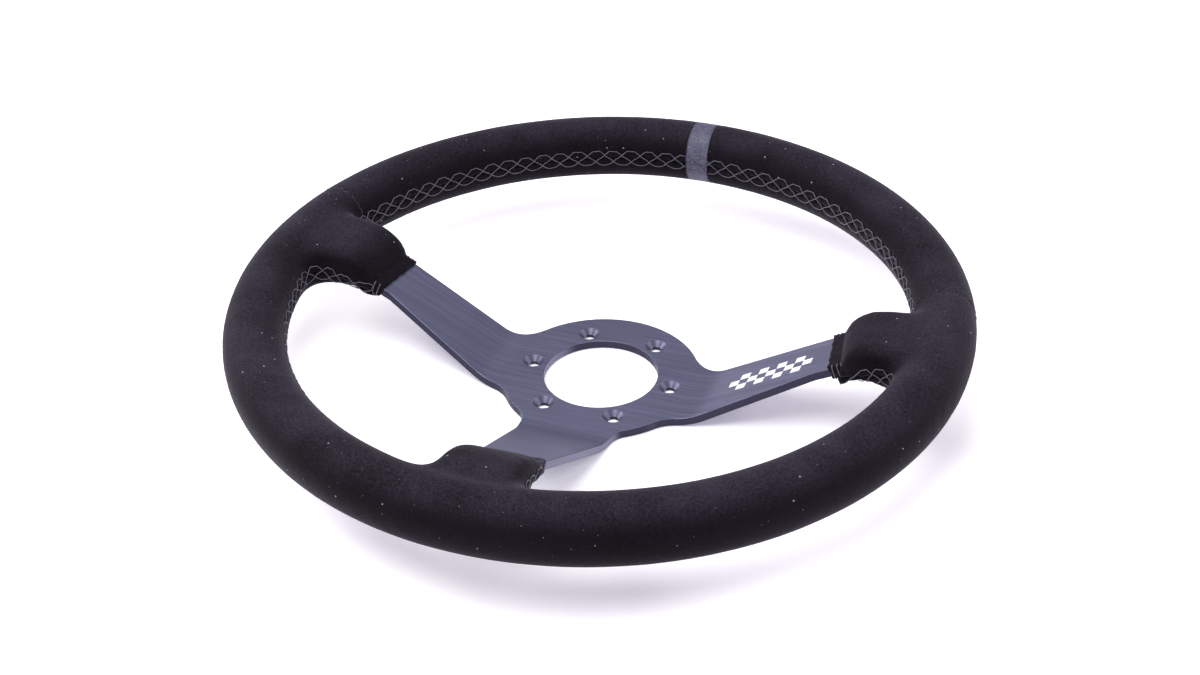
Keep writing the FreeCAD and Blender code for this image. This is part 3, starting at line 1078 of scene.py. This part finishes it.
def makeTubes(name, strands, radius):
    # one mesh of round threads through the given points
    curve = bpy.data.curves.new(name, "CURVE")
    curve.dimensions = "3D"
    curve.bevel_depth = radius
    curve.bevel_resolution = 2
    curve.use_fill_caps = True
    curve.resolution_u = 2
    for points in strands:
        if len(points) < 2:
            continue
        spline = curve.splines.new("POLY")
        spline.points.add(len(points) - 1)
        for slotPoint, place in zip(spline.points, points):
            slotPoint.co = (*place, 1)
    tubes = bpy.data.objects.new(name, curve)
    bpy.context.collection.objects.link(tubes)
    pick(tubes)
    bpy.ops.object.convert(target="MESH")
    tubes = bpy.context.object
    editAll(tubes)
    bpy.ops.mesh.normals_make_consistent(inside=False)
    leaveEdit()
    return tubes


def finishThread(piece, node, material=threadMaterial):
    dress(piece, material)
    pick(piece)
    bpy.ops.object.shade_smooth_by_angle(angle=math.radians(50))
    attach(piece, "root")
    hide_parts(node)


def addLacing(name, guideName, node, fromRun, toRun, seed):
    guide = guides[guideName]
    rng = random.Random(seed)
    strands = []
    for first in range(3):
        corners = strandCorners(guide["length"], first - 2, rng)
        strands.append(layStrand(formTree, guide, corners, fromRun, toRun))
    piece = makeTubes(name, strands, lacing["radius"])
    finishThread(piece, node)
    return len(piece.data.vertices)


upperLength = guides["upper"]["length"]
middle = upperLength / 2
gapHalf = wheel["markerHalf"] + 0.2 * mm
points = addLacing("upperRightLacing", "upper", "lacing_upper_right", 0, middle - gapHalf, 11)
points += addLacing("upperLeftLacing", "upper", "lacing_upper_left", middle + gapHalf, upperLength, 11)
points += addLacing("markerLacing", "upper", "lacing_marker", middle - gapHalf, middle + gapHalf, 11)
points += addLacing("lowerRightLacing", "lowerRight", "lacing_lower_right", 0,
                    guides["lowerRight"]["length"], 21)
points += addLacing("lowerLeftLacing", "lowerLeft", "lacing_lower_left", 0,
                    guides["lowerLeft"]["length"], 31)
print("lacing has", points, "points")


# ---- short stitches sunk into the cross seams and along the marker's edges

stitch = {
    "radius": 0.18 * mm,
    "length": 2.6 * mm,
    "gap": 1.3 * mm,
    "sink": 0.16 * mm,
    "ringHalfWidth": 14 * mm,
    "ringHalfHeight": 15 * mm,
}


def addRingStitches(name, node, angleAt, seed):
    # dashes round the rim's section where angleAt gives the plan angle for a section point
    rng = random.Random(seed)
    dashes = []
    around = 2 * math.pi * stitch["ringHalfHeight"]
    count = int(around / (stitch["length"] + stitch["gap"]))
    for i in range(count):
        dash = []
        for j in range(4):
            turn = 2 * math.pi * (i + 0.66 * j / 3 + rng.uniform(-0.02, 0.02)) / count
            reach = wheel["tubeRadius"] + stitch["ringHalfWidth"] * math.cos(turn)
            height = wheel["tubeHeight"] + stitch["ringHalfHeight"] * math.sin(turn)
            plan = angleAt(reach)
            start = Vector((reach * math.cos(plan), reach * math.sin(plan), height))
            hit, normal, face, distance = formTree.find_nearest(start)
            dash.append(hit + normal * (stitch["radius"] * 0.5 - stitch["sink"] * (j in (0, 3))))
        dashes.append(dash)
    finishThread(makeTubes(name, dashes, stitch["radius"]), node, hiddenThread)


addRingStitches("rightCrossStitches", "cross_seam_thread_right",
                lambda reach: wheel["crossAngle"], 41)
addRingStitches("leftCrossStitches", "cross_seam_thread_left",
                lambda reach: math.pi - wheel["crossAngle"], 43)
addRingStitches("rightMarkerStitches", "marker_thread_right",
                lambda reach: math.acos(wheel["markerHalf"] / reach), 45)
addRingStitches("leftMarkerStitches", "marker_thread_left",
                lambda reach: math.pi - math.acos(wheel["markerHalf"] / reach), 47)


# ---- whip stitches closing each collar past the plate's edges

hem = {
    "radius": 0.30 * mm,
    "spacing": 2.1 * mm,
    "count": 3,
    "reach": 108.6 * mm,
    "slant": 0.9 * mm,
    "bulge": 1.5 * mm,
    "inset": 0.2 * mm,
    "lift": 0.35 * mm,
}


def hemLoops(spoke, side, outward, rng, low, high):
    # slanted turns of thread round one edge of a collar, on the right-hand spoke
    loops = []
    lean = math.atan(wheel["spokeSlope"])
    half = wheel["plateHalf"] + collar["skin"] + hem["lift"]
    for i in range(hem["count"]):
        reach = hem["reach"] + i * hem["spacing"] + rng.uniform(-0.3, 0.3) * mm
        reach += hemShift(spoke, side, low, high)
        loop = []
        for j in range(9):
            turn = math.pi * (j / 8 - 0.5) * 1.08
            along = reach + hem["slant"] * (j / 8 - 0.5)
            out = hem["bulge"] * math.cos(turn)
            off = half * math.sin(turn)
            across = side + outward * (out - hem["inset"])
            loop.append(Vector((along - off * math.sin(lean), across,
                                rise(along) + off * math.cos(lean))))
        loops.append(loop)
    return loops


def addHem(name, node, spoke, low, high, place, seed):
    rng = random.Random(seed)
    loops = hemLoops(spoke, low, -1, rng, low, high) + hemLoops(spoke, high, 1, rng, low, high)
    loops = [[place(point) for point in loop] for loop in loops]
    finishThread(makeTubes(name, loops, hem["radius"]), node)


addHem("rightHemStitches", "hem_thread_right", "right", wheel["sideLow"], wheel["sideTop"],
       lambda p: p, 51)
addHem("leftHemStitches", "hem_thread_left", "left", wheel["sideLow"], wheel["sideTop"],
       lambda p: Vector((-p.x, p.y, p.z)), 53)
addHem("bottomHemStitches", "hem_thread_bottom", "bottom", -wheel["bottomHalf"], wheel["bottomHalf"],
       lambda p: Vector((p.y, -p.x, p.z)), 55)
print("threads ready")
